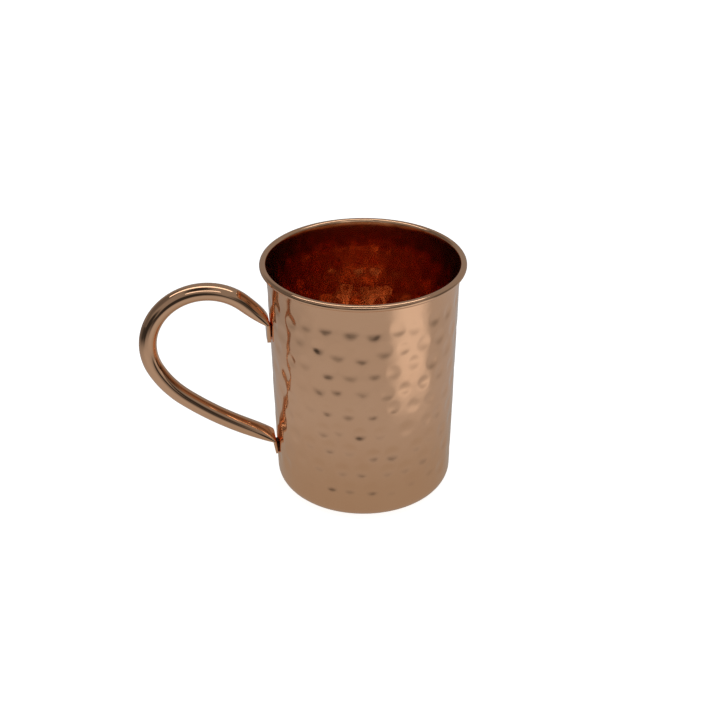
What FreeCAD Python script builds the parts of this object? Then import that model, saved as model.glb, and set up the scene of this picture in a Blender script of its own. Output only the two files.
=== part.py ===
"""A hammered copper mug: a spun body with a curled rim, and a tube handle brazed on by its flat ends.

Frame: the origin is the centre of the base, on the mug's axis. +Z is up and the handle points to -X.
The XZ plane is the handle's own plane. All lengths are in millimetres and all angles in degrees.
"""

import FreeCAD, Part
import math
import os

# Driving dimensions of the body
HEIGHT = 105.0
BASE_RADIUS = 38.08  # the wall's outside, carried on down to the base plane
WALL_LEAN = 1.2  # the wall opens out towards the rim
CORNER_RADIUS = 6.4  # outside, between the wall and the base
SHEET = 0.9  # copper sheet thickness
RIM_RADIUS = 43.0  # outside of the curl, from the mug's axis
CURL_RADIUS = 1.4  # outside of the curl, in section
CURL_END = -110.0  # where the curled edge stops, just short of the wall
FLARE_RADIUS = 85.0  # the wall bends outwards just below the curl

# Driving dimensions of the handle: a bent tube with both ends pressed flat
TUBE_DIAMETER = 7.5
TUBE_WALL = 0.75
UPPER_FOLD_HEIGHT = 79.9  # where the upper end folds down against the wall
START_CLIMB = 43.0  # above level, where the tube leaves the upper fold
UPPER_RUN = 13.0  # straight, and rounding out from flat to full tube
BENDS = [(24.2, 159.0), (46.0, 23.5), (140.0, 13.0)]  # radius and turn, from the top down
LOWER_RUN = 12.0  # straight, and pressed from full tube to flat
BORE_REACH = 0.85  # how far along each straight run the bore stays open

# Driving dimensions of the two flat tabs
FOLD_THICKNESS = 1.7  # the metal bunches up a little where the tube folds into the tab
TAB_TIP_WIDTH = 6.8
TAB_TIP_CORNER = 1.0
UPPER_TAB_DROP = 9.4  # from the fold down to the tip
LOWER_TAB_DROP = 7.9
LOWER_TIP_THICKNESS = 0.9  # hammered thinner than the upper one
TAB_GAP = 0.15  # from the tab to the wall where they are closest

# Driving dimensions of the braze metal
BRAZE_WIDTH = 5.8
UPPER_BRAZE_LENGTH = 7.6
LOWER_BRAZE_RISE = 6.8  # up behind the lower tab, from its tip
LOWER_BRAZE_TOE = 0.7  # down below the lower tab's tip

X = FreeCAD.Vector(1, 0, 0)
Y = FreeCAD.Vector(0, 1, 0)
Z = FreeCAD.Vector(0, 0, 1)
ORIGIN = FreeCAD.Vector(0, 0, 0)
LEAN = math.radians(WALL_LEAN)
FLAT_THICKNESS = 2 * TUBE_WALL
# Pressing a tube flat keeps the distance round its section
FLAT_WIDTH = FLAT_THICKNESS + math.pi * (TUBE_DIAMETER - FLAT_THICKNESS) / 2


def level(degrees):
    """The unit vector in the XZ plane at an angle from +X towards +Z."""
    angle = math.radians(degrees)
    return X * math.cos(angle) + Z * math.sin(angle)


def degrees_of(vector):
    """The angle of a vector in the XZ plane, from +X towards +Z."""
    return math.degrees(math.atan2(vector.z, vector.x))


def at(x, z):
    """The point of the XZ plane at two coordinates."""
    return X * x + Z * z


def arc(centre, radius, first, last):
    """The arc of a circle in the XZ plane between two angles."""
    points = [centre + level(angle) * radius for angle in (first, (first + last) / 2, last)]
    return Part.Arc(*points).toShape()


def wall_radius(height):
    """The outside radius of the wall's straight stretch."""
    return BASE_RADIUS + height * math.tan(LEAN)


def sheet_face(depth):
    """One face of the sheet in section, as edges from the axis to the end of the curl.

    depth is 0 on the outside of the mug, and the sheet's thickness on the inside.
    """
    outward, upward = level(-WALL_LEAN), level(90 - WALL_LEAN)
    curl_hollow = CURL_RADIUS - SHEET
    corner_centre = at(wall_radius(CORNER_RADIUS) - CORNER_RADIUS / math.cos(LEAN), CORNER_RADIUS)
    curl_centre = at(RIM_RADIUS - CURL_RADIUS, HEIGHT - CURL_RADIUS)
    # The flare touches the straight wall at its foot, and the hollow of the curl at its top
    across = FLARE_RADIUS - (curl_centre - at(BASE_RADIUS, 0)).dot(outward)
    rise = math.sqrt((FLARE_RADIUS - curl_hollow) ** 2 - across**2)
    flare_centre = curl_centre + outward * across - upward * rise
    curl_start = degrees_of(curl_centre - flare_centre)

    corner = arc(corner_centre, CORNER_RADIUS - depth, -90, -WALL_LEAN)
    flare = arc(flare_centre, FLARE_RADIUS + depth, 180 - WALL_LEAN, curl_start)
    curl = arc(curl_centre, curl_hollow + depth, curl_start, CURL_END)
    base = Part.makeLine(Z * depth, corner.firstVertex().Point)
    wall = Part.makeLine(corner.lastVertex().Point, flare.firstVertex().Point)
    return [base, corner, wall, flare, curl]


def body_shell():
    """The mug's body, spun from one disc of sheet, with its edge curled outwards."""
    outside, inside = sheet_face(0), sheet_face(SHEET)
    cut_edge = Part.makeLine(outside[-1].lastVertex().Point, inside[-1].lastVertex().Point)
    on_axis = Part.makeLine(ORIGIN, Z * SHEET)
    section = Part.Wire(Part.__sortEdges__(outside + [cut_edge] + inside + [on_axis]))
    return Part.Face(section).revolve(ORIGIN, Z, 360)


def tube_route():
    """The middle line of the tube, as a list of edges from the upper fold to the lower one."""
    start = beside_wall(UPPER_FOLD_HEIGHT, FLAT_THICKNESS)
    heading = 180 - START_CLIMB
    point = start + level(heading) * UPPER_RUN
    route = [Part.makeLine(start, point)]
    for radius, turn in BENDS:
        centre = point + level(heading + 90) * radius
        route.append(arc(centre, radius, heading - 90, heading + turn - 90))
        heading += turn
        point = centre + level(heading - 90) * radius
    route.append(Part.makeLine(point, point + level(heading) * LOWER_RUN))
    return route


def oval(centre, heading, width, thickness):
    """A section of the tube: an ellipse that faces along the heading, with its width along Y."""
    ellipse = Part.Ellipse(ORIGIN, width / 2, thickness / 2).toShape()
    facing = FreeCAD.Rotation(Y, level(heading + 90), level(heading))
    ellipse.Placement = FreeCAD.Placement(centre, facing)
    return Part.Wire(ellipse)


def pressed_end(full, flat, inset, reach):
    """A solid that narrows from the full round section towards the flat one.

    inset is 0 on the tube's outside and the tube's wall in its bore, and reach is how much of the
    way to the flat section it goes.
    """
    heading = degrees_of(flat - full)
    sections = []
    for along in (0, reach / 3, reach * 2 / 3, reach):
        pressed = along**2  # slow at first, so that the press meets the round tube smoothly
        thickness = TUBE_DIAMETER + (FLAT_THICKNESS - TUBE_DIAMETER) * pressed
        width = thickness + math.pi * (TUBE_DIAMETER - thickness) / 2
        centre = full + (flat - full) * along
        sections.append(oval(centre, heading, width - 2 * inset, thickness - 2 * inset))
    return Part.makeLoft(sections, True)


def tube(route, inset, reach):
    """The round tube and its two pressed ends, as one solid."""
    upper_run, bends, lower_run = route[0], route[1:-1], route[-1]
    top, bottom = bends[0].firstVertex().Point, bends[-1].lastVertex().Point
    disc = oval(top, 180 - START_CLIMB, TUBE_DIAMETER - 2 * inset, TUBE_DIAMETER - 2 * inset)
    round_part = Part.Wire(bends).makePipe(Part.Face(disc))
    upper_end = pressed_end(top, upper_run.firstVertex().Point, inset, reach)
    lower_end = pressed_end(bottom, lower_run.lastVertex().Point, inset, reach)
    return round_part.fuse([upper_end, lower_end])


def beside_wall(height, thickness):
    """The middle of a tab at a height where its near face stands off the wall by the tab's gap."""
    return at(-(wall_radius(height) + TAB_GAP + thickness / 2), height)


def polygon(corners):
    """A flat face with straight sides."""
    return Part.Face(Part.makePolygon(corners + corners[:1]))


def runs_through(edge, tip, through):
    """Whether an edge is one of the two at the tip that run through the sheet."""
    direction = (edge.lastVertex().Point - edge.firstVertex().Point).normalize()
    near_tip = abs(edge.CenterOfMass.z - tip.z) < TAB_TIP_CORNER
    return near_tip and abs(direction.dot(through)) > 0.99


def tab(fold, tip, tip_thickness):
    """A flat end, with a rolled fold at its top and two rounded corners at its tip."""
    down = (tip - fold).normalize()
    through = down.cross(Y)
    thick_fold, thick_tip = through * (FLAT_THICKNESS / 2), through * (tip_thickness / 2)
    side = polygon([fold - thick_fold, fold + thick_fold, tip + thick_tip, tip - thick_tip])
    blank = side.extrude(Y * FLAT_WIDTH)
    blank.translate(Y * (-FLAT_WIDTH / 2))

    wide_fold, wide_tip = Y * (FLAT_WIDTH / 2), Y * (TAB_TIP_WIDTH / 2)
    outline = polygon([fold - wide_fold, fold + wide_fold, tip + wide_tip, tip - wide_tip])
    outline = outline.extrude(through * (2 * FLAT_THICKNESS))
    outline.translate(through * -FLAT_THICKNESS)
    tip_corners = [edge for edge in outline.Edges if runs_through(edge, tip, through)]
    outline = outline.makeFillet(TAB_TIP_CORNER, tip_corners)

    fold_roll = Part.makeCylinder(FOLD_THICKNESS / 2, FLAT_WIDTH, fold - wide_fold, Y)
    return blank.common(outline).fuse(fold_roll)


def handle_tube():
    """The whole handle: a hollow bent tube, pressed shut towards a flat tab at each end."""
    route = tube_route()
    upper_fold, lower_fold = route[0].firstVertex().Point, route[-1].lastVertex().Point
    upper_tip = beside_wall(upper_fold.z - UPPER_TAB_DROP, FLAT_THICKNESS)
    lower_tip = beside_wall(lower_fold.z - LOWER_TAB_DROP, LOWER_TIP_THICKNESS)
    upper_tab = tab(upper_fold, upper_tip, FLAT_THICKNESS)
    lower_tab = tab(lower_fold, lower_tip, LOWER_TIP_THICKNESS)
    outside = tube(route, 0, 1).fuse([upper_tab, lower_tab])
    bore = tube(route, TUBE_WALL, BORE_REACH)
    return outside.cut(bore), upper_tip, lower_tip


def braze(corners, handle):
    """Braze metal that fills a side outline wherever the handle and the mug's wall leave room."""
    block = polygon(corners).extrude(Y * BRAZE_WIDTH)
    block.translate(Y * (-BRAZE_WIDTH / 2))
    low, high = CORNER_RADIUS, UPPER_FOLD_HEIGHT
    wall = Part.makeCone(wall_radius(low), wall_radius(high), high - low, Z * low)
    return block.cut([wall, handle])


def upper_braze_joint(handle, tip):
    """A thin bed of braze behind the upper tab, set in from the tab's edges."""
    bottom = tip.z + (UPPER_TAB_DROP - UPPER_BRAZE_LENGTH) / 2
    top = bottom + UPPER_BRAZE_LENGTH
    inner = -wall_radius(bottom) + SHEET
    return braze([at(inner, bottom), at(tip.x, bottom), at(tip.x, top), at(inner, top)], handle)


def lower_braze_joint(handle, tip):
    """A wedge of braze behind the lower tab's tip, with a small toe below it."""
    bottom, top = tip.z - LOWER_BRAZE_TOE, tip.z + LOWER_BRAZE_RISE
    inner, toe = -wall_radius(bottom) + SHEET, -wall_radius(bottom) - TAB_GAP
    return braze([at(inner, bottom), at(toe, bottom), tip, at(tip.x, top), at(inner, top)], handle)


def main():
    handle, upper_tip, lower_tip = handle_tube()
    parts = {
        "body_shell": body_shell(),
        "handle_tube": handle,
        "upper_braze_joint": upper_braze_joint(handle, upper_tip),
        "lower_braze_joint": lower_braze_joint(handle, lower_tip),
    }
    os.makedirs("parts", exist_ok=True)
    for name, shape in parts.items():
        (solid,) = shape.Solids
        print(f"{name}: valid {solid.isValid()}, {solid.Volume:.1f} mm3")
        solid.exportStep(f"parts/{name}.step")


main()
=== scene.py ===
"""A hammered copper mug, polished, on a plain pale floor under soft studio light.

Lengths are in metres and named angles in degrees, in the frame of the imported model: the origin is the
centre of the mug's base, +Z is up, and the handle points to -X in the XZ plane. Four pieces stand for the
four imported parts: the hammered body, the handle bent from one tube, and the braze metal behind each of the
handle's flat ends.
"""

import math
from functools import partial, reduce

import bpy
import numpy as np
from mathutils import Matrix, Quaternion, Vector


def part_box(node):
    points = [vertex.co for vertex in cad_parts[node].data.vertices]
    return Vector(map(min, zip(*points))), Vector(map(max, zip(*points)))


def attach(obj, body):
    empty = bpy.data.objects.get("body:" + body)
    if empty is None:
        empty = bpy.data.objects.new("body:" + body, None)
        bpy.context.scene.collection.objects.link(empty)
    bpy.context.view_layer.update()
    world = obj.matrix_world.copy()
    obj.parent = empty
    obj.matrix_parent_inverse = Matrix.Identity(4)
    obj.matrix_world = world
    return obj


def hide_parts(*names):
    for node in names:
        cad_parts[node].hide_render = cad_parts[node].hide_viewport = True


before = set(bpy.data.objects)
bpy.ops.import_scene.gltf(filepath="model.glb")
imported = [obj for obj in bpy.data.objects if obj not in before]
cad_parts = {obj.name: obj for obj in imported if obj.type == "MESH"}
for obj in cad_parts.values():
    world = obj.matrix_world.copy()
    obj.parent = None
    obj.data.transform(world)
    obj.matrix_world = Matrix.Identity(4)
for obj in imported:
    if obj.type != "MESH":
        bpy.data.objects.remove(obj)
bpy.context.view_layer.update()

MM = 0.001
SEED = 20
PHASE = 6.3  # radians: a small wave starts anywhere in about one turn

# The body in section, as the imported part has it
BODY_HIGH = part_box("body_shell")[1]
HEIGHT = BODY_HIGH.z
RIM_RADIUS = BODY_HIGH.y
BASE_RADIUS = 38.08 * MM  # the wall's outside, carried on down to the base plane
WALL_LEAN = 1.2  # the wall opens out towards the rim
CORNER_RADIUS = 6.4 * MM
SHEET = 0.9 * MM
CURL_RADIUS = 1.4 * MM
CURL_END = -110.0  # where the curled edge stops, just short of the wall
FLARE_RADIUS = 85.0 * MM  # of the wall's slight outward bend below the curl

# How finely the body is divided
COLUMNS = 400  # round the body
BASE_POINTS = 8
CORNER_POINTS = 10
FLARE_POINTS = 9
HIDDEN_CURL_POINTS = 9  # on the sheet's outer face, which ends inside the curl
CURL_ROWS = 30  # on the inner face, which is the bead that shows
OUTER_STEP = 0.95 * MM  # between rows of the wall
INNER_STEP = 1.5 * MM

# The hammer marks
MARK_ROWS = 9
MARKS_PER_ROW = 27
LOWEST_MARKS = 16.0 * MM
HIGHEST_MARKS = 92.5 * MM
MARK_RADIUS = (3.3 * MM, 4.2 * MM)  # the smallest and the largest
MARK_DEPTH = (0.37 * MM, 0.35 * MM)  # the deepest in the lowest row and in the highest
MARK_SHALLOWEST = 0.6  # of the deepest in that row
MARK_SCATTER = 0.9 * MM
MARK_BOWL = 1.5  # the exponent of a mark's shape: a higher one makes its edge softer
MARKS_FADE_IN = (5.0 * MM, 15.0 * MM)  # heights at the foot, where the corner stays smooth
MARKS_FADE_OUT = (95.5 * MM, 98.5 * MM)  # heights below the rim, where a smooth band is left
BASE_TO_WALL = (0.93, 0.97)  # of the base's radius: none shows within the first, all beyond the second
WAVE_DEPTH = 0.10 * MM  # the wall's slow unevenness between the marks
WAVE_COUNT = 14
WAVE_TURNS = 24  # the most waves that fit round the body
WAVE_RISES = 6  # the most that fit up its height
LINING_RELIEF = 0.65  # of the marks' depth, as it shows on the inside
LINING_WAVES = 0.1  # of the unevenness, as it shows on the inside

# The handle's route and sections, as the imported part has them
TUBE_DIAMETER = 7.5 * MM
FLAT_THICKNESS = 1.5 * MM
UPPER_FOLD_HEIGHT = 79.9 * MM
START_CLIMB = 43.0
UPPER_RUN = 13.0 * MM
BENDS = [(24.2 * MM, 159.0), (46.0 * MM, 23.5), (140.0 * MM, 13.0)]  # radius and turn, from the top
LOWER_RUN = 12.0 * MM
UPPER_TAB_DROP = 9.4 * MM
LOWER_TAB_DROP = 7.9 * MM
LOWER_TIP_THICKNESS = 0.9 * MM
TAB_TIP_WIDTH = 6.8 * MM
TAB_TIP_CORNER = 1.0 * MM
TAB_EDGE = (0.2 * MM, 0.75 * MM)  # the radius of a tab's long edges, at its tip and at its fold
TAB_GAP = 0.15 * MM
FOLD_RADIUS = 1.1 * MM  # of the middle line, where a flat end folds down into its tab
FOLD_POINTS = 9
PRESS_REACH = 5.0 * MM  # how quickly the pressed tube rounds out, away from its fold
HEAT_REACH = 7.0 * MM  # how far past a fold the torch has dulled the tube
RING_POINTS = 64
RING_STEP = 0.6 * MM
RING_FLATS = 3  # a ring's points cross its flats where their cosine or sine is under 1 / 3

# The tube's slight unevenness: a few waves along it and round it
TUBE_WAVES = 8
TUBE_WAVE_RATE = (60, 260)  # radians per metre
TUBE_WAVE_LOBES = (1, 4)  # at least the first and fewer than the second
TUBE_SHRINK = 0.006  # of the tube's size, on average

# The braze metal
BRAZE_WIDTH = 5.8 * MM
UPPER_BRAZE_LENGTH = 7.6 * MM
UPPER_BRAZE_THICKNESS = TAB_GAP * 1.2  # the tab's gap, and a little way into the tab
LOWER_BRAZE_RISE = 6.8 * MM
LOWER_BRAZE_TOE = 0.7 * MM
LOWER_BRAZE_FACE = LOWER_TIP_THICKNESS * 0.4  # from the tab's middle to the wedge, so just inside the tab
BRAZE_SINK = SHEET / 3  # how far it reaches into the wall
BRAZE_POINTS = 48
BRAZE_EDGE_WAVES = [(2, 0.05), (5, 0.05), (9, 0.03)]  # lobes round the edge, and their share of its size
# Each layer's share of the outline, and its depth: 0 at the tab and 1 in the wall
BRAZE_LAYERS = [(0.05, 0), (0.6, 0), (0.93, 0), (1.0, 0.04), (0.95, 0.5), (1.0, 0.96), (0.6, 1), (0.05, 1)]

# Colours; a pair is the darker and the lighter one that a surface drifts between
COPPER = ((0.92, 0.54, 0.325), (0.96, 0.585, 0.365))
# darker than the body's copper: painted shade for the inside of the mug
SHADED_LINING_COPPER = ((0.77, 0.46, 0.29), (0.87, 0.53, 0.33))
# near black: painted shade for the gaps behind the handle's tabs, given to the braze
BRAZE_AND_GAP_SHADE = ((0.05, 0.03, 0.02), (0.20, 0.13, 0.09))
TORCH_DULLED = (0.62, 0.47, 0.40)
# painted light: the copper's warm bounce, laid on the mirrored floor near the mug
COPPER_BOUNCE_TINT = (0.86, 0.81, 0.73)
WHITE = (1, 1, 1)

# Surfaces; a scale is how fine a noise is, per metre
COLOUR_SCALE = 70
POLISH_SCALE = 260
POLISH_RANGE = (0.3, 0.7)  # the noise's values that give the least and the most roughness
RIPPLE_SCALE = 170
HAIRLINE_SCALE = 900
HAIRLINE_STRETCH = (1, 1, 9)  # finer up the mug than across, so that they run level
TORCH_ROUGHENS = 0.16
BRAZE_SCALE = 1400
BRAZE_GRAIN = 0.04 * MM
BRAZE_ROUGHNESS = 0.5
COLOUR_FROM, COLOUR_TO, COLOUR_OUT = 6, 7, 2  # where a mix of colours has its sockets

# The camera
CAMERA_AZIMUTH = -9.0
CAMERA_ELEVATION = 30.43
CAMERA_DISTANCE = 577.5 * MM
CAMERA_LOOKS_AT = 50.5 * MM  # height on the mug's axis
CAMERA_AIMS_LEFT = 1.45 * MM  # of that point, as the camera sees it
CAMERA_AIMS_ABOVE = 5.52 * MM
CAMERA_ROLL = -0.23
CAMERA_LENS = 66.6  # millimetres, on Blender's sensor of 36

# The lights; left, right, ahead and behind are as the camera sees the mug
STRIP_SIZE = (1.64, 0.22)
STRIP_RADIANCE = 1.7
STRIP_HEIGHT = 1.0
STRIP_BEHIND = 0.05
STRIP_LEFT = 0.12
PANEL_SIZE = (0.96, 0.21)
PANEL_RADIANCE = 1.3
PANEL_HEIGHT = 1.0
PANEL_AHEAD = 1.2
PANEL_RIGHT = 0.17
PANEL_AIM_HEIGHT = 0.08

# The floor that the camera sees
FLOOR_POINTS = 96
SEEN_FLOOR_RADIUS = 12.0
SEEN_FLOOR_HEIGHT = -0.02 * MM
SEEN_FLOOR_GREY = 0.9
SEEN_FLOOR_GLOW = 0.86

# The floor that the copper mirrors. A sector is a direction to the right of the camera's, the angle from it
# where nothing of the sector is left, and the angle within which it is whole. A reach is two distances, from
# the mug's axis unless it says otherwise: where a thing starts to show, and from where all of it does.
MIRRORED_FLOOR_RADIUS = 3.0
MIRRORED_FLOOR_HEIGHT = -0.05 * MM
FLOOR_GLOW = 0.405
COPPER_BOUNCE_REACH = (0.045, 0.11)  # painted copper bounce light within the first distance, and white beyond the second
FLOOR_OPENING = (25, 100, 70)  # the sector where the copper sees past the floor, to the studio below it
POOL_SECTOR = (54, 33, 0)
POOL_REACH = (0.095, 0.150)
POOL_GLOW = 0.30
AHEAD_SECTOR = (0, 50, 16)
AHEAD_REACH = (0.185, 0.28)
AROUND_SECTOR = (0, 130, 70)
AROUND_REACH = (0.20, 0.40)
AROUND_DARKNESS = 0.9  # of the darkness ahead
FLOOR_DARKNESS = 0.93  # how much of the light the darkest places lose
BEHIND_REACH = (0.03, -0.12)  # measured towards the camera
BEHIND_ACROSS = (0.14, -0.02)  # measured to the right
BEHIND_LOSS = 0.07
LEFT_REACH = (-0.10, -0.22)  # measured to the right
LEFT_LOSS = 0.08
OUTLYING_REACH = (0.185, 0.36)
OUTLYING_LOSS = 0.35  # of the light that is left
FAR_REACH = (0.5, 2.6)

# The studio that the copper mirrors. A patch is a direction to the right of the camera's, its angle above
# the level, and the angles from it beyond which nothing is left and within which it is whole.
DIM_PATCHES = [(-84, 0, 30, 10), (84, 0, 30, 10), (-100, 34, 44, 18)]
DIM_SHARE = 0.6  # of the darkness of the dark patches
DARK_PATCHES = [(-44, -5, 25, 12), (44, -5, 25, 12), (0, -5, 25, 12), (0, 63, 22, 9)]
HORIZON = (-0.02, -0.12)  # upward parts of the directions between which the studio turns into the table
TABLE_FADE = (-0.56, -0.12)  # upward parts between which the table darkens towards its far edge
STUDIO_GLOW = 0.25
DARKEST_GLOW = 0.03
BACKDROP_GLOW = 0.97  # what the camera sees of the studio

# How often light is followed from one piece of copper to the next
MAX_BOUNCES = 16
GLOSSY_BOUNCES = 12


# Small tools for shapes


def level(degrees):
    """The unit vector at an angle in a vertical plane: across, then up."""
    angle = math.radians(degrees)
    return np.array([math.cos(angle), math.sin(angle)])


def smooth_step(value, low, high):
    """0 below low, 1 above high, and a smooth rise between them."""
    along = np.clip((value - low) / (high - low), 0, 1)
    return along * along * (3 - 2 * along)


def full_turn(count):
    """Evenly spaced angles all the way round, in radians."""
    return np.linspace(0, 2 * math.pi, count, endpoint=False)


def wall_radius(height):
    """The outside radius of the wall's straight stretch."""
    return BASE_RADIUS + height * math.tan(math.radians(WALL_LEAN))


def arc_points(centre, radius, first, last, count):
    """Points along an arc in a vertical plane."""
    return [centre + level(angle) * radius for angle in np.linspace(first, last, count)]


def line_points(start, end, count):
    """Points along a straight line."""
    return [start + (end - start) * share for share in np.linspace(0, 1, count)]


def mesh_object(name, points, faces):
    """A smooth-shaded mesh object."""
    mesh = bpy.data.meshes.new(name)
    mesh.from_pydata([tuple(point) for point in points], [], faces)
    mesh.update()
    mesh.shade_smooth()
    made = bpy.data.objects.new(name, mesh)
    bpy.context.scene.collection.objects.link(made)
    return made


def grid_faces(rows, columns, flip=False):
    """Quads between the rows of a grid of points, whose columns run all the way round."""
    faces = []
    for row in range(rows - 1):
        for column in range(columns):
            after = (column + 1) % columns
            quad = [row * columns + column, row * columns + after]
            quad += [(row + 1) * columns + after, (row + 1) * columns + column]
            faces.append(quad[::-1] if flip else quad)
    return faces


def cap_faces(first, columns, flip):
    """One flat face that closes a ring of points, counted from its first one."""
    ring_points = list(range(first, first + columns))
    return [ring_points[::-1] if flip else ring_points]


# The body


def sheet_face(depth, wall_step):
    """One face of the sheet in section: (radius, height) points from the axis to the end of the curl.

    depth is 0 on the outside of the mug, and the sheet's thickness on the inside.
    """
    lean = math.radians(WALL_LEAN)
    outward, upward = level(-WALL_LEAN), level(90 - WALL_LEAN)
    curl_hollow = CURL_RADIUS - SHEET
    corner_reach = wall_radius(CORNER_RADIUS) - CORNER_RADIUS / math.cos(lean)
    corner_centre = np.array([corner_reach, CORNER_RADIUS])
    curl_centre = np.array([RIM_RADIUS - CURL_RADIUS, HEIGHT - CURL_RADIUS])
    across = FLARE_RADIUS - (curl_centre - np.array([BASE_RADIUS, 0])) @ outward
    below = math.sqrt((FLARE_RADIUS - curl_hollow) ** 2 - across**2)
    flare_centre = curl_centre + outward * across - upward * below
    to_curl = curl_centre - flare_centre
    curl_start = math.degrees(math.atan2(to_curl[1], to_curl[0]))
    curl_points = CURL_ROWS if depth else HIDDEN_CURL_POINTS

    corner = arc_points(corner_centre, CORNER_RADIUS - depth, -90, -WALL_LEAN, CORNER_POINTS)
    flare = arc_points(flare_centre, FLARE_RADIUS + depth, 180 - WALL_LEAN, curl_start, FLARE_POINTS)
    curl = arc_points(curl_centre, curl_hollow + depth, curl_start, CURL_END, curl_points)
    base = line_points(np.array([0, depth]), corner[0], BASE_POINTS)
    wall_rows = round((flare[0][1] - corner[-1][1]) / wall_step)
    wall = line_points(corner[-1], flare[0], wall_rows)
    return base + corner[1:] + wall[1:] + flare[1:] + curl[1:]


def hammer_marks(random):
    """The hammer's marks, row by row, as (angle round the body, height, radius, depth)."""
    marks = []
    for row, height in enumerate(np.linspace(LOWEST_MARKS, HIGHEST_MARKS, MARK_ROWS)):
        for step in range(MARKS_PER_ROW):
            around = (step + (row % 2) / 2) / MARKS_PER_ROW * 2 * math.pi
            around += random.normal(0, MARK_SCATTER) / wall_radius(height)
            up = height + random.normal(0, MARK_SCATTER)
            depth = np.interp(height, (LOWEST_MARKS, HIGHEST_MARKS), MARK_DEPTH)
            depth *= random.uniform(MARK_SHALLOWEST, 1)
            marks.append((around, up, random.uniform(*MARK_RADIUS), depth))
    return marks


def mark_depth(marks, around, height):
    """How deep the marks have pressed each point of the wall, at its angle and height."""
    deepest = np.zeros(np.broadcast(around, height).shape)
    for mark_around, mark_height, radius, depth in marks:
        turn = (around - mark_around + math.pi) % (2 * math.pi) - math.pi
        apart = (turn * wall_radius(mark_height)) ** 2 + (height - mark_height) ** 2
        bowl = depth * np.clip(1 - apart / radius**2, 0, 1) ** MARK_BOWL
        deepest = np.maximum(deepest, bowl)
    return deepest


def wave_depth(random, around, height):
    """The wall's slow unevenness: a few waves of random direction."""
    total = np.zeros(np.broadcast(around, height).shape)
    for _ in range(WAVE_COUNT):
        turns = random.integers(-WAVE_TURNS, WAVE_TURNS + 1)
        rate = random.uniform(-WAVE_RISES, WAVE_RISES) * 2 * math.pi / HEIGHT
        total = total + np.sin(turns * around + rate * height + random.uniform(0, 2 * math.pi))
    return WAVE_DEPTH * total / math.sqrt(WAVE_COUNT) / 2


def pressed_in(around, height, lining):
    """How far marks and waves press the sheet in at each point, before they fade towards foot and rim."""
    random = np.random.default_rng(SEED)
    marks = mark_depth(hammer_marks(random), around, height) * np.where(lining, LINING_RELIEF, 1)
    waves = wave_depth(random, around, height) * np.where(lining, LINING_WAVES, 1)
    return marks + waves


def hammered_body():
    """The body as one closed mesh: the outside from the base up, the curl, and the inside back down."""
    outside = sheet_face(0, OUTER_STEP)
    inside = sheet_face(SHEET, INNER_STEP)
    section = np.array(outside[1:] + inside[:0:-1])
    around = full_turn(COLUMNS)[None, :]
    radius, height = section[:, 0, None], section[:, 1, None]
    lining = np.arange(len(section))[:, None] >= len(outside) - 1 + CURL_ROWS
    at_foot = smooth_step(height, *MARKS_FADE_IN)
    at_rim = 1 - smooth_step(height, *MARKS_FADE_OUT)
    on_wall = smooth_step(radius / BASE_RADIUS, *BASE_TO_WALL)
    reach = radius - pressed_in(around, height, lining) * at_foot * at_rim * on_wall

    grid = np.stack([reach * np.cos(around), reach * np.sin(around), height + 0 * reach], axis=-1)
    points = list(grid.reshape(-1, 3))
    rows = len(section)
    faces = grid_faces(rows, COLUMNS)
    base, floor = len(points), len(points) + 1
    points += [(0, 0, 0), (0, 0, SHEET)]
    last = (rows - 1) * COLUMNS
    for column in range(COLUMNS):
        after = (column + 1) % COLUMNS
        faces.append([base, after, column])
        faces.append([floor, last + column, last + after])
    made = mesh_object("hammered_body", points, faces)
    for face in made.data.polygons:
        face.material_index = int(lining[min(face.vertices) // COLUMNS, 0])
    return made


# The handle


def beside_wall(height, thickness):
    """The middle of a tab, (x, height), where its near face stands off the wall by the tab's gap."""
    return np.array([-(wall_radius(height) + TAB_GAP + thickness / 2), height])


def fold_points(tip, fold, heading):
    """The middle line from a tab's tip up to its fold and round it, towards a heading."""
    along = (fold - tip) / np.linalg.norm(fold - tip)
    start = math.degrees(math.atan2(along[1], along[0]))
    turn = (heading - start + 180) % 360 - 180
    side = math.copysign(1, turn)
    setback = FOLD_RADIUS * math.tan(math.radians(abs(turn) / 2))
    foot = fold - along * setback
    centre = foot + level(start + 90 * side) * FOLD_RADIUS
    first = start - 90 * side
    bend = arc_points(centre, FOLD_RADIUS, first, first + turn, FOLD_POINTS)
    tab_rows = round(np.linalg.norm(foot - tip) / (RING_STEP / 2))
    return line_points(tip, foot, tab_rows)[:-1] + bend


def tube_points(start, heading):
    """The middle line of the tube from one fold to the other, and its heading at the far end."""
    point = start + level(heading) * UPPER_RUN
    route = line_points(start, point, round(UPPER_RUN / RING_STEP))
    for radius, turn in BENDS:
        centre = point + level(heading + 90) * radius
        count = round(math.radians(turn) * radius / RING_STEP)
        route += arc_points(centre, radius, heading - 90, heading + turn - 90, count)[1:]
        heading += turn
        point = route[-1]
    end = point + level(heading) * LOWER_RUN
    return route + line_points(point, end, round(LOWER_RUN / RING_STEP))[1:], heading


def handle_route():
    """The handle's whole middle line from tip to tip, and the two folds and tips on it."""
    upper_fold = beside_wall(UPPER_FOLD_HEIGHT, FLAT_THICKNESS)
    tube, end_heading = tube_points(upper_fold, 180 - START_CLIMB)
    lower_fold = tube[-1]
    upper_tip = beside_wall(upper_fold[1] - UPPER_TAB_DROP, FLAT_THICKNESS)
    lower_tip = beside_wall(lower_fold[1] - LOWER_TAB_DROP, LOWER_TIP_THICKNESS)
    upper = fold_points(upper_tip, upper_fold, 180 - START_CLIMB)
    lower = fold_points(lower_tip, lower_fold, end_heading + 180)

    def clear_of(fold, point):
        return np.linalg.norm(point - fold) > FOLD_RADIUS

    middle = [point for point in tube if clear_of(upper_fold, point) and clear_of(lower_fold, point)]
    return np.array(upper + middle + lower[::-1]), (upper_tip, upper_fold, lower_fold, lower_tip)


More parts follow.
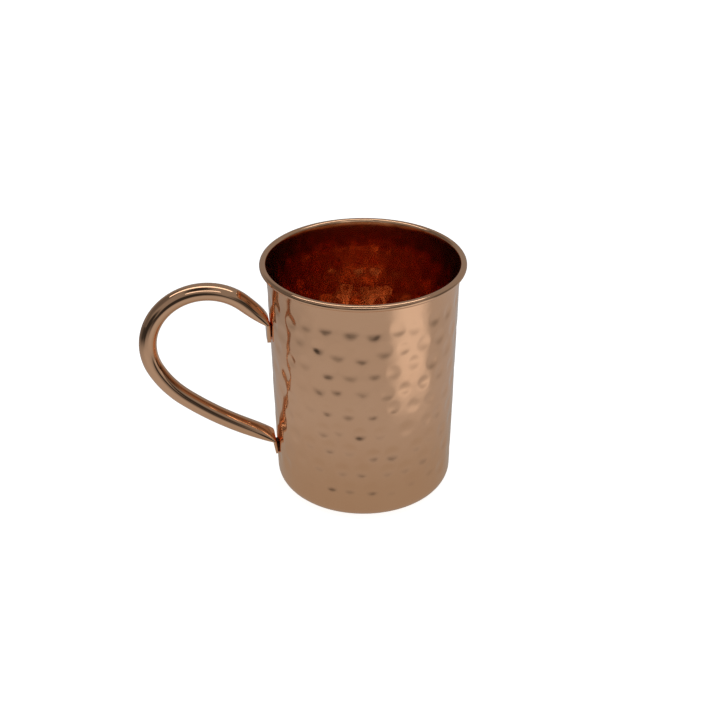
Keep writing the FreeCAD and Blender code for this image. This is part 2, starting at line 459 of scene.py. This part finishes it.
def tab_width(from_tip, length):
    """The width of a flat tab at a distance from its tip: wide at the fold, with round tip corners."""
    flat_width = FLAT_THICKNESS + math.pi * (TUBE_DIAMETER - FLAT_THICKNESS) / 2
    width = TAB_TIP_WIDTH + (flat_width - TAB_TIP_WIDTH) * np.clip(from_tip / length, 0, 1)
    short = np.clip(1 - from_tip / TAB_TIP_CORNER, 0, 1)
    return float(width - 2 * TAB_TIP_CORNER * (1 - np.sqrt(1 - short**2)))


def tab_section(from_tip, length, tip_thickness):
    """A tab's thickness, width and edge radius at a distance from its tip."""
    share = min(from_tip / length, 1)
    thickness = tip_thickness + (FLAT_THICKNESS - tip_thickness) * share
    edge = TAB_EDGE[0] + (TAB_EDGE[1] - TAB_EDGE[0]) * share**3
    return thickness, tab_width(from_tip, length), min(thickness / 2, edge)


def tube_section(past_fold):
    """The tube's thickness, width and edge radius at a distance past its fold, as it rounds out."""
    pressed = math.exp(-past_fold / PRESS_REACH)
    thickness = TUBE_DIAMETER + (FLAT_THICKNESS - TUBE_DIAMETER) * pressed
    width = thickness + math.pi * (TUBE_DIAMETER - thickness) / 2
    return thickness, width, thickness / 2


def ring(turn, thickness, width, corner):
    """A ring of the handle: a rounded oblong, or a circle where its sides and corners meet."""
    side, up = np.cos(turn), np.sin(turn)
    wide = (width / 2 - corner) * np.clip(RING_FLATS * side, -1, 1) + corner * side
    thick = (thickness / 2 - corner) * np.clip(RING_FLATS * up, -1, 1) + corner * up
    return wide, thick


def tube_waves():
    """The waves of the tube's unevenness, as (rate along it, lobes round it, start)."""
    random = np.random.default_rng(SEED + 1)
    waves = []
    for _ in range(TUBE_WAVES):
        rate = random.uniform(*TUBE_WAVE_RATE)
        lobes = random.integers(*TUBE_WAVE_LOBES)
        waves.append((rate, lobes, random.uniform(0, PHASE)))
    return waves


def bent_handle():
    """The handle as one closed mesh: a tube whose ends are pressed flat and folded into tabs."""
    route, (upper_tip, upper_fold, lower_fold, lower_tip) = handle_route()
    tangents = np.gradient(route, axis=0)
    tangents /= np.linalg.norm(tangents, axis=1)[:, None]
    steps = np.linalg.norm(np.diff(route, axis=0), axis=1)
    travel = np.concatenate([[0], np.cumsum(steps)])
    upper_length = np.linalg.norm(upper_fold - upper_tip)
    lower_length = np.linalg.norm(lower_fold - lower_tip)
    waves = tube_waves()
    turn = full_turn(RING_POINTS)
    points, heat = [], []
    for middle, tangent, gone in zip(route, tangents, travel):
        left = travel[-1] - gone
        past_fold = min(gone - upper_length, left - lower_length)
        heat += [1 - float(smooth_step(past_fold, 0, HEAT_REACH))] * RING_POINTS
        if past_fold > 0:
            section = tube_section(past_fold)
        elif gone < left:
            section = tab_section(gone, upper_length, FLAT_THICKNESS)
        else:
            section = tab_section(left, lower_length, LOWER_TIP_THICKNESS)
        wide, thick = ring(turn, *section)
        normal = np.array([-tangent[1], tangent[0]])
        uneven = sum(np.sin(rate * gone + lobes * turn + start) for rate, lobes, start in waves)
        shrink = 1 - TUBE_SHRINK * (1 + uneven / TUBE_WAVES)
        spots = middle[None, :] + np.outer(thick * shrink, normal)
        points += [(x, y, z) for (x, z), y in zip(spots, wide * shrink)]
    rows = len(route)
    faces = grid_faces(rows, RING_POINTS)
    faces += cap_faces(0, RING_POINTS, True)
    faces += cap_faces((rows - 1) * RING_POINTS, RING_POINTS, False)
    made = mesh_object("bent_handle", points, faces)
    made.data.attributes.new("heat", "FLOAT", "POINT").data.foreach_set("value", heat)
    return made


# The braze metal


def braze_bed(name, bottom, top, tab_face, seed):
    """A bed of braze with an uneven outline, between the wall and a tab, from bottom to top.

    tab_face gives the x of the bed's outer face at a height.
    """
    random = np.random.default_rng(seed)
    around = full_turn(BRAZE_POINTS)
    edge = 1
    for lobes, size in BRAZE_EDGE_WAVES:
        edge = edge + size * np.sin(lobes * around + random.uniform(0, PHASE))
    edge /= edge.max()
    half_height = (top - bottom) / 2
    outline = np.stack([BRAZE_WIDTH / 2 * np.cos(around), half_height * np.sin(around)], axis=-1)
    outline *= edge[:, None]
    points = []
    for share, depth in BRAZE_LAYERS:
        for y, above_middle in outline * share:
            height = (bottom + top) / 2 + above_middle
            outer = tab_face(height)
            inner = -math.sqrt(wall_radius(height) ** 2 - y**2) + BRAZE_SINK
            points.append((outer + (inner - outer) * depth, y, height))
    faces = grid_faces(len(BRAZE_LAYERS), BRAZE_POINTS, flip=True)
    faces += cap_faces(0, BRAZE_POINTS, False)
    faces += cap_faces((len(BRAZE_LAYERS) - 1) * BRAZE_POINTS, BRAZE_POINTS, True)
    return mesh_object(name, points, faces)


def upper_braze():
    """The thin bed behind the upper tab, set in from its edges."""
    _, (tip, fold, _, _) = handle_route()
    middle = (tip[1] + fold[1]) / 2

    def tab_face(height):
        return -(wall_radius(height) + UPPER_BRAZE_THICKNESS)

    return braze_bed("upper_braze", middle - UPPER_BRAZE_LENGTH / 2, middle + UPPER_BRAZE_LENGTH / 2,
                     tab_face, SEED + 2)


def lower_braze():
    """The wedge behind the lower tab's tip, with its toe just below it."""
    _, (_, _, fold, tip) = handle_route()
    slope = (fold[0] - tip[0]) / (fold[1] - tip[1])
    bottom, top = tip[1] - LOWER_BRAZE_TOE, tip[1] + LOWER_BRAZE_RISE

    def tab_face(height):
        behind_tab = tip[0] + slope * (height - tip[1]) + LOWER_BRAZE_FACE
        toe = -(wall_radius(height) + TAB_GAP)
        share = min(max((height - bottom) / LOWER_BRAZE_TOE, 0), 1)
        return toe + (behind_tab - toe) * share

    return braze_bed("lower_braze", bottom, top, tab_face, SEED + 3)


# Small tools for materials


def node(tree, kind, inputs=None, **settings):
    """A shader node with some inputs and settings given."""
    made = tree.nodes.new(kind)
    for key, value in settings.items():
        setattr(made, key, value)
    for key, value in (inputs or {}).items():
        if isinstance(value, bpy.types.NodeSocket):
            tree.links.new(value, made.inputs[key])
        else:
            made.inputs[key].default_value = value
    return made


def new_material(name):
    """An empty node material, with its tree and output."""
    made = bpy.data.materials.new(name)
    made.use_nodes = True
    made.node_tree.nodes.clear()
    return made, made.node_tree, made.node_tree.nodes.new("ShaderNodeOutputMaterial")


def noise(tree, place, scale, detail):
    """A soft random value at each place."""
    return node(tree, "ShaderNodeTexNoise", {"Vector": place, "Scale": scale, "Detail": detail}).outputs[0]


def blend(tree, share, start, end):
    """A colour between start and end; start may be another node's output."""
    if not isinstance(start, bpy.types.NodeSocket):
        start = (*start, 1)
    inputs = {"Factor": share, COLOUR_FROM: start, COLOUR_TO: (*end, 1)}
    return node(tree, "ShaderNodeMix", inputs, data_type="RGBA").outputs[COLOUR_OUT]


def maths(tree, operation, *values):
    """The result of one calculation on numbers or other nodes' outputs."""
    return node(tree, "ShaderNodeMath", dict(enumerate(values)), operation=operation).outputs[0]


def ramp(tree, value, low, high, start, end):
    """start where a value is at low, end where it is at high, and evenly between."""
    return node(tree, "ShaderNodeMapRange", {
        "Value": value,
        "From Min": low,
        "From Max": high,
        "To Min": start,
        "To Max": end,
    }).outputs[0]


def smooth_rise(tree, value, low, high):
    """0 where a value is at low, 1 where it is at high, and a smooth rise between."""
    return node(tree, "ShaderNodeMapRange", {"Value": value, "From Min": low, "From Max": high},
                interpolation_type="SMOOTHSTEP").outputs[0]


def distance_along(tree, place, way):
    """How far a place lies along a direction."""
    return node(tree, "ShaderNodeVectorMath", {0: place, 1: way}, operation="DOT_PRODUCT").outputs["Value"]


def near(tree, cosine, wide, narrow):
    """1 where an angle, given by its cosine, is under narrow degrees, and 0 where it is over wide."""
    return smooth_rise(tree, cosine, math.cos(math.radians(wide)), math.cos(math.radians(narrow)))


# Materials


def copper(name, colours, roughness, hairline, ripple):
    """Polished copper: slow shifts of colour, an uneven polish, faint ripples and fine hairlines.

    hairline and ripple are heights. The copper is duller where the mesh's heat attribute rises towards 1,
    and there is none on the body.
    """
    made, tree, output = new_material(name)
    place = node(tree, "ShaderNodeTexCoord").outputs["Object"]
    heat = node(tree, "ShaderNodeAttribute", attribute_name="heat").outputs["Fac"]
    colour = blend(tree, noise(tree, place, COLOUR_SCALE, 3), *colours)
    polish = ramp(tree, noise(tree, place, POLISH_SCALE, 4), *POLISH_RANGE, *roughness)
    stretched = node(tree, "ShaderNodeMapping", {"Vector": place, "Scale": HAIRLINE_STRETCH}).outputs[0]
    rippled = node(tree, "ShaderNodeBump", {
        "Height": noise(tree, place, RIPPLE_SCALE, 1),
        "Strength": 1,
        "Distance": ripple,
    })
    relief = node(tree, "ShaderNodeBump", {
        "Height": noise(tree, stretched, HAIRLINE_SCALE, 2),
        "Strength": 1,
        "Distance": hairline,
        "Normal": rippled.outputs[0],
    })
    shader = node(tree, "ShaderNodeBsdfPrincipled", {
        "Base Color": blend(tree, heat, colour, TORCH_DULLED),
        "Roughness": maths(tree, "MULTIPLY_ADD", heat, TORCH_ROUGHENS, polish),
        "Normal": relief.outputs[0],
        "Metallic": 1,
    })
    tree.links.new(shader.outputs[0], output.inputs["Surface"])
    return made


def braze_metal():
    """Braze alloy, dull and a little grainy, coloured near black as painted shade for the gaps behind the
    tabs.
    """
    made, tree, output = new_material("braze_painted_gap_shade")
    place = node(tree, "ShaderNodeTexCoord").outputs["Object"]
    grain = noise(tree, place, BRAZE_SCALE, 4)
    relief = node(tree, "ShaderNodeBump", {"Height": grain, "Strength": 1, "Distance": BRAZE_GRAIN})
    shader = node(tree, "ShaderNodeBsdfPrincipled", {
        # painted shade: the braze is coloured near black for the gaps behind the tabs
        "Base Color": blend(tree, grain, *BRAZE_AND_GAP_SHADE),
        "Roughness": BRAZE_ROUGHNESS,
        "Normal": relief.outputs[0],
        "Metallic": 1,
    })
    tree.links.new(shader.outputs[0], output.inputs["Surface"])
    return made


# The camera and the lights


def towards_camera():
    """The level unit vector from the mug to the camera."""
    angle = math.radians(CAMERA_AZIMUTH)
    return Vector((math.sin(angle), -math.cos(angle), 0))


def camera_right():
    """The level unit vector to the right, as the camera sees it."""
    return Vector((0, 0, 1)).cross(towards_camera())


def add_camera():
    """The camera, aimed a little off the mug's axis and rolled a little."""
    climb = math.radians(CAMERA_ELEVATION)
    centre = Vector((0, 0, CAMERA_LOOKS_AT))
    back = towards_camera() * math.cos(climb) + Vector((0, 0, math.sin(climb)))
    right = Vector((0, 0, 1)).cross(back).normalized()
    above = back.cross(right)
    location = centre + back * CAMERA_DISTANCE
    aim = centre - right * CAMERA_AIMS_LEFT + above * CAMERA_AIMS_ABOVE
    data = bpy.data.cameras.new("camera")
    data.lens = CAMERA_LENS
    made = bpy.data.objects.new("camera", data)
    made.location = location
    made.rotation_mode = "QUATERNION"
    roll = Quaternion((0, 0, 1), math.radians(CAMERA_ROLL))
    made.rotation_quaternion = (aim - location).to_track_quat("-Z", "Y") @ roll
    bpy.context.scene.collection.objects.link(made)
    bpy.context.scene.camera = made


def panel(name, centre, rotation, size, radiance):
    """A soft rectangular studio light."""
    data = bpy.data.lights.new(name, "AREA")
    data.shape = "RECTANGLE"
    data.size, data.size_y = size
    data.energy = radiance * math.pi * size[0] * size[1]
    made = bpy.data.objects.new(name, data)
    made.location = centre
    made.rotation_mode = "QUATERNION"
    made.rotation_quaternion = rotation
    bpy.context.scene.collection.objects.link(made)


def add_lights():
    """A long strip overhead, across the camera's view, and a wide panel above and behind the camera."""
    toward, right = towards_camera(), camera_right()
    overhead = Vector((0, 0, STRIP_HEIGHT)) - toward * STRIP_BEHIND - right * STRIP_LEFT
    facing_down = Quaternion((0, 0, 1), math.radians(CAMERA_AZIMUTH))
    panel("overhead_strip", overhead, facing_down, STRIP_SIZE, STRIP_RADIANCE)
    front = toward * PANEL_AHEAD + right * PANEL_RIGHT + Vector((0, 0, PANEL_HEIGHT))
    aim = right * PANEL_RIGHT + Vector((0, 0, PANEL_AIM_HEIGHT))
    panel("front_panel", front, (aim - front).to_track_quat("-Z", "Y"), PANEL_SIZE, PANEL_RADIANCE)


# The floors


def flat_disc(name, radius, height):
    """A flat round floor."""
    points = [(radius * math.cos(turn), radius * math.sin(turn), height) for turn in full_turn(FLOOR_POINTS)]
    return mesh_object(name, points, [list(range(FLOOR_POINTS))])


def seen_floor():
    """The pale floor that the camera sees."""
    floor = flat_disc("floor", SEEN_FLOOR_RADIUS, SEEN_FLOOR_HEIGHT)
    made, tree, output = new_material("pale_floor")
    grey = (SEEN_FLOOR_GREY, SEEN_FLOOR_GREY, SEEN_FLOOR_GREY, 1)
    matt = node(tree, "ShaderNodeBsdfDiffuse", {"Color": grey})
    glow = node(tree, "ShaderNodeEmission", {"Color": (*WHITE, 1), "Strength": SEEN_FLOOR_GLOW})
    both = node(tree, "ShaderNodeAddShader", {0: matt.outputs[0], 1: glow.outputs[0]})
    tree.links.new(both.outputs[0], output.inputs["Surface"])
    floor.data.materials.append(made)
    floor.visible_glossy = False
    floor.visible_diffuse = False


def sector(tree, place, away, turn, wide, narrow):
    """1 within narrow degrees of a direction to the right of the camera's, and 0 beyond wide."""
    way = camera_right() * math.sin(math.radians(turn)) + towards_camera() * math.cos(math.radians(turn))
    return near(tree, maths(tree, "DIVIDE", distance_along(tree, place, way), away), wide, narrow)


def floor_glow(tree, place, away, pool):
    """How bright the mirrored floor is: a pool in an even grey that darkens ahead, around and far off.

    pool is how much of the pool there is at each place.
    """
    rises = partial(smooth_rise, tree)
    times = partial(maths, tree, "MULTIPLY")
    minus = partial(maths, tree, "SUBTRACT")
    front = distance_along(tree, place, towards_camera())
    across = distance_along(tree, place, camera_right())
    behind = times(rises(front, *BEHIND_REACH), rises(across, *BEHIND_ACROSS))
    bare = minus(FLOOR_GLOW, times(behind, BEHIND_LOSS))
    bare = minus(bare, times(rises(across, *LEFT_REACH), LEFT_LOSS))
    bare = times(bare, minus(1, times(rises(away, *OUTLYING_REACH), OUTLYING_LOSS)))
    lit = maths(tree, "ADD", bare, times(pool, POOL_GLOW))
    far = ramp(tree, rises(away, *FAR_REACH), 0, 1, lit, STUDIO_GLOW)
    ahead = times(sector(tree, place, away, *AHEAD_SECTOR), rises(away, *AHEAD_REACH))
    around = times(sector(tree, place, away, *AROUND_SECTOR), rises(away, *AROUND_REACH))
    dark = maths(tree, "MAXIMUM", ahead, times(around, AROUND_DARKNESS))
    return times(far, minus(1, times(dark, FLOOR_DARKNESS)))


def reflected_floor():
    """The floor as the copper mirrors it: painted with the mug's warm bounce light close by, dark further
    off, and bright in a pool.

    It is opened in a wide sector in front of the mug. There the copper sees the pool and, tinted by the
    painted bounce light, the studio below the horizon.
    """
    floor = flat_disc("mirrored_floor", MIRRORED_FLOOR_RADIUS, MIRRORED_FLOOR_HEIGHT)
    made, tree, output = new_material("mirrored_floor")
    place = node(tree, "ShaderNodeTexCoord").outputs["Object"]
    away = node(tree, "ShaderNodeVectorMath", {0: place}, operation="LENGTH").outputs["Value"]
    # painted light: the floor near the mug is tinted with the copper's warm bounce
    copper_bounce_tint = blend(tree, smooth_rise(tree, away, *COPPER_BOUNCE_REACH), COPPER_BOUNCE_TINT, WHITE)
    toward_pool = sector(tree, place, away, *POOL_SECTOR)
    pool = maths(tree, "MULTIPLY", toward_pool, toward_pool)
    pool = maths(tree, "MULTIPLY", pool, smooth_rise(tree, away, *POOL_REACH))
    glow = node(tree, "ShaderNodeEmission", {"Color": copper_bounce_tint, "Strength": floor_glow(tree, place, away, pool)})
    pool_glow = node(tree, "ShaderNodeEmission", {
        "Color": (*WHITE, 1),
        "Strength": maths(tree, "MULTIPLY", pool, POOL_GLOW),
    })
    tinted = node(tree, "ShaderNodeBsdfTransparent", {"Color": copper_bounce_tint})
    seen_past = node(tree, "ShaderNodeAddShader", {0: pool_glow.outputs[0], 1: tinted.outputs[0]})
    opened = node(tree, "ShaderNodeMixShader", {
        "Fac": sector(tree, place, away, *FLOOR_OPENING),
        1: glow.outputs[0],
        2: seen_past.outputs[0],
    })
    tree.links.new(opened.outputs[0], output.inputs["Surface"])
    floor.data.materials.append(made)
    floor.visible_camera = False
    floor.visible_diffuse = False


# The studio


def patch(tree, way, turn, climb, wide, narrow):
    """1 within narrow degrees of a place, right of the camera and above the level, and 0 beyond wide."""
    centre = Quaternion((0, 0, 1), math.radians(turn)) @ towards_camera() * math.cos(math.radians(climb))
    centre += Vector((0, 0, math.sin(math.radians(climb))))
    return near(tree, distance_along(tree, way, centre), wide, narrow)


def studio_world():
    """A grey studio with dark patches, over a table that darkens to its edge; the camera sees pale grey."""
    world = bpy.data.worlds.new("studio")
    bpy.context.scene.world = world
    world.use_nodes = True
    tree = world.node_tree
    tree.nodes.clear()
    output = tree.nodes.new("ShaderNodeOutputWorld")
    way = node(tree, "ShaderNodeTexCoord").outputs["Generated"]
    upward = node(tree, "ShaderNodeSeparateXYZ", {"Vector": way}).outputs["Z"]
    darker = partial(maths, tree, "MAXIMUM")

    dim_patches = reduce(darker, [patch(tree, way, *spot) for spot in DIM_PATCHES])
    dark_patches = reduce(darker, [patch(tree, way, *spot) for spot in DARK_PATCHES])
    below = smooth_rise(tree, upward, *HORIZON)
    table_edge = maths(tree, "MULTIPLY", smooth_rise(tree, upward, *TABLE_FADE), below)
    dark = darker(darker(maths(tree, "MULTIPLY", dim_patches, DIM_SHARE), table_edge), dark_patches)
    pale = ramp(tree, below, 0, 1, STUDIO_GLOW, FLOOR_GLOW)
    grey = ramp(tree, dark, 0, 1, pale, DARKEST_GLOW)
    mirrored = node(tree, "ShaderNodeBackground", {"Color": (*WHITE, 1), "Strength": grey})
    seen = node(tree, "ShaderNodeBackground", {"Color": (*WHITE, 1), "Strength": BACKDROP_GLOW})
    rays = node(tree, "ShaderNodeLightPath")
    both = node(tree, "ShaderNodeMixShader", {
        "Fac": rays.outputs["Is Camera Ray"],
        1: mirrored.outputs[0],
        2: seen.outputs[0],
    })
    tree.links.new(both.outputs[0], output.inputs["Surface"])


def add_pieces():
    """The mug's four pieces, each with its material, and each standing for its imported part."""
    body_copper = copper("hammered_copper", COPPER, roughness=(0.08, 0.13),
                         hairline=0.0008 * MM, ripple=0.10 * MM)
    # the lining's copper is painted darker, as shade inside the mug
    shaded_lining_copper = copper("inner_copper_painted_shade", SHADED_LINING_COPPER, roughness=(0.09, 0.13),
                           hairline=0.0002 * MM, ripple=0.02 * MM)
    handle_copper = copper("tube_copper", COPPER, roughness=(0.03, 0.06),
                           hairline=0.0004 * MM, ripple=0.01 * MM)
    braze = braze_metal()
    for piece, stands_for, slot, materials in (
        (hammered_body(), "body_shell", "body_copper", (body_copper, shaded_lining_copper)),
        (bent_handle(), "handle_tube", "handle_copper", (handle_copper,)),
        (upper_braze(), "upper_braze_joint", "braze_metal", (braze,)),
        (lower_braze(), "lower_braze_joint", "braze_metal", (braze,)),
    ):
        for material in materials:
            piece.data.materials.append(material)
        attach(piece, "root")
        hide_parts(stands_for)


def main():
    """The whole scene: camera, floors, studio, lights and mug."""
    add_camera()
    seen_floor()
    reflected_floor()
    studio_world()
    add_lights()
    add_pieces()
    scene = bpy.context.scene
    scene.view_settings.view_transform = "Standard"
    scene.cycles.max_bounces = MAX_BOUNCES
    scene.cycles.glossy_bounces = GLOSSY_BOUNCES


main()
